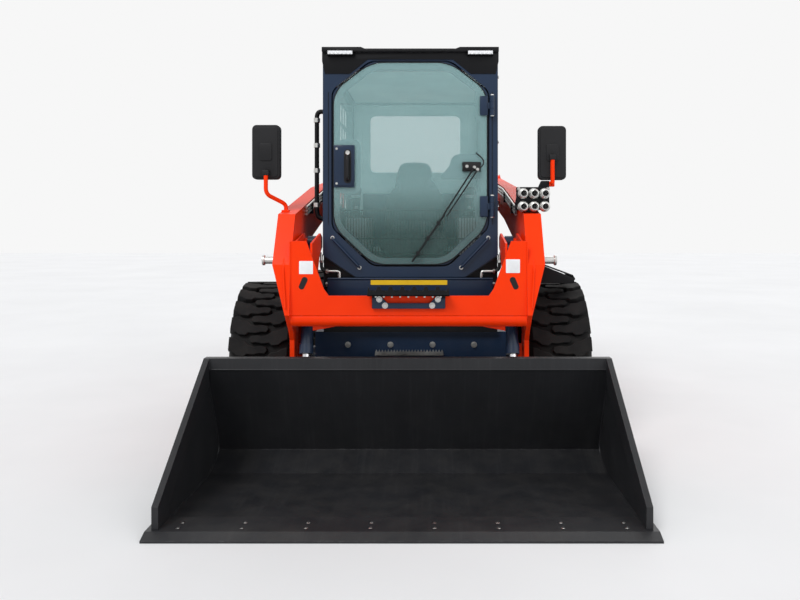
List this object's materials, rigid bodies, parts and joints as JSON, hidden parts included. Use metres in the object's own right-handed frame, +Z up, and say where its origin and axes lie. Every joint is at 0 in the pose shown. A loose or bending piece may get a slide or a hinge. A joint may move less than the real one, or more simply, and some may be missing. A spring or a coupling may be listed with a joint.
{
  "type": "skid steer loader",
  "caption": "Compact wheeled loader with a cab between lift arms, a wide dirt bucket on a tilting coupler, and a swinging rear engine door.",
  "frame": {"origin": "on the ground, in the middle of the machine's length and width", "axes": "+X to the right seen from the front, +Y to the rear, +Z up; the bucket's edge faces -Y"},
  "size_m": [1.88, 3.69, 2.045],
  "materials": {
    "orange_paint": "glossy orange-red enamel",
    "blue_paint": "satin dark blue enamel",
    "black_paint": "satin black enamel",
    "tyre_rubber": "moulded black rubber",
    "rim_paint": "orange-red enamel on pressed steel",
    "tinted_glass": "lightly tinted safety glass",
    "chromed_rod": "hard chromed rod",
    "zinc_plated_steel": "bright zinc plate",
    "black_plastic": "grained black plastic",
    "console_plastic": "grained grey plastic",
    "seat_vinyl": "dark grey padded vinyl",
    "engine_iron": "painted casting",
    "lamp_lens": "moulded lens"
  },
  "bodies": {
    "chassis": {"chassis_frame": "blue_paint", "rear_towers": "blue_paint", "engine_block": "engine_iron", "engine_cover": "orange_paint", "rear_bumper": "blue_paint", "side_step": "black_paint", "cab_frame": "blue_paint", "cab_roof": "blue_paint", "visor": "black_paint", "cab_windows": "tinted_glass", "side_screens": "black_paint", "cab_floor": "black_paint", "footwell_guard": "black_paint", "seat": "seat_vinyl", "consoles": "console_plastic", "grab_rail": "black_paint", "front_beam": "blue_paint"},
    "lift_arms": {"lift_arm_left": "orange_paint", "lift_arm_right": "orange_paint", "cross_member": "orange_paint", "step": "black_paint", "arm_tubes": "zinc_plated_steel", "coupler_block": "zinc_plated_steel", "mirrors": "black_plastic"},
    "bucket": {"bucket_shell": "black_paint", "cutting_edge": "black_paint", "quick_attach": "black_paint"},
    "door": {"door_frame": "blue_paint", "door_glass": "tinted_glass", "door_handle": "black_plastic", "wiper": "black_plastic"},
    "rear_door": {"rear_door": "orange_paint", "tail_lamps": "lamp_lens"},
    "lift_barrels": {"lift_barrels": "blue_paint"},
    "lift_rods": {"lift_rods": "chromed_rod"},
    "tilt_barrels": {"tilt_barrels": "blue_paint"},
    "tilt_rods": {"tilt_rods": "chromed_rod"},
    "wheel_front_left": {"tyre_front_left": "tyre_rubber", "rim_front_left": "rim_paint"},
    "wheel_front_right": {"tyre_front_right": "tyre_rubber", "rim_front_right": "rim_paint"},
    "wheel_rear_left": {"tyre_rear_left": "tyre_rubber", "rim_rear_left": "rim_paint"},
    "wheel_rear_right": {"tyre_rear_right": "tyre_rubber", "rim_rear_right": "rim_paint"}
  },
  "joints": [
    {"name": "lift", "type": "hinge", "parent": "chassis", "child": "lift_arms", "pos_m": [0, 1.355, 1.45], "axis": [-1, 0, 0], "range_deg": [0, 69]},
    {"name": "tilt", "type": "hinge", "parent": "lift_arms", "child": "bucket", "pos_m": [0, -0.93, 0.2], "axis": [-1, 0, 0], "range_deg": [-105, 28]},
    {"name": "door_swing", "type": "hinge", "parent": "chassis", "child": "door", "pos_m": [0.412, -0.759, 1.4], "axis": [0, 0, 1], "range_deg": [0, 80]},
    {"name": "rear_door_swing", "type": "hinge", "parent": "chassis", "child": "rear_door", "pos_m": [0.462, 1.78, 0.9], "axis": [0, 0, -1], "range_deg": [0, 100]},
    {"name": "wheel_front_left_spin", "type": "hinge", "parent": "chassis", "child": "wheel_front_left", "pos_m": [-0.761, -0.39, 0.418], "axis": [1, 0, 0], "continuous": true},
    {"name": "wheel_front_right_spin", "type": "hinge", "parent": "chassis", "child": "wheel_front_right", "pos_m": [0.761, -0.39, 0.418], "axis": [1, 0, 0], "continuous": true},
    {"name": "wheel_rear_left_spin", "type": "hinge", "parent": "chassis", "child": "wheel_rear_left", "pos_m": [-0.761, 0.82, 0.418], "axis": [1, 0, 0], "continuous": true},
    {"name": "wheel_rear_right_spin", "type": "hinge", "parent": "chassis", "child": "wheel_rear_right", "pos_m": [0.761, 0.82, 0.418], "axis": [1, 0, 0], "continuous": true},
    {"name": "lift_barrel_swing", "type": "hinge", "parent": "chassis", "child": "lift_barrels", "pos_m": [0, 1.235, 0.7], "axis": [1, 0, 0], "range_deg": [-41, 1]},
    {"name": "lift_rod_slide", "type": "slide", "parent": "lift_barrels", "child": "lift_rods", "axis": [0, -0.7975, 0.6033], "range_m": [-0.001, 0.634]},
    {"name": "tilt_barrel_swing", "type": "hinge", "parent": "lift_arms", "child": "tilt_barrels", "pos_m": [0, -0.715, 1.06], "axis": [1, 0, 0], "range_deg": [-8.5, 2.5]},
    {"name": "tilt_rod_slide", "type": "slide", "parent": "tilt_barrels", "child": "tilt_rods", "axis": [0, -0.3291, -0.9443], "range_m": [-0.07, 0.258]}
  ],
  "couplings": [
    {"joint": "lift_barrel_swing", "follows": "lift", "ratio": -0.587},
    {"joint": "lift_rod_slide", "follows": "lift", "m_per_rad": 0.5252},
    {"joint": "tilt_barrel_swing", "follows": "tilt", "ratio": 0.08},
    {"joint": "tilt_rod_slide", "follows": "tilt", "m_per_rad": -0.14}
  ]
}
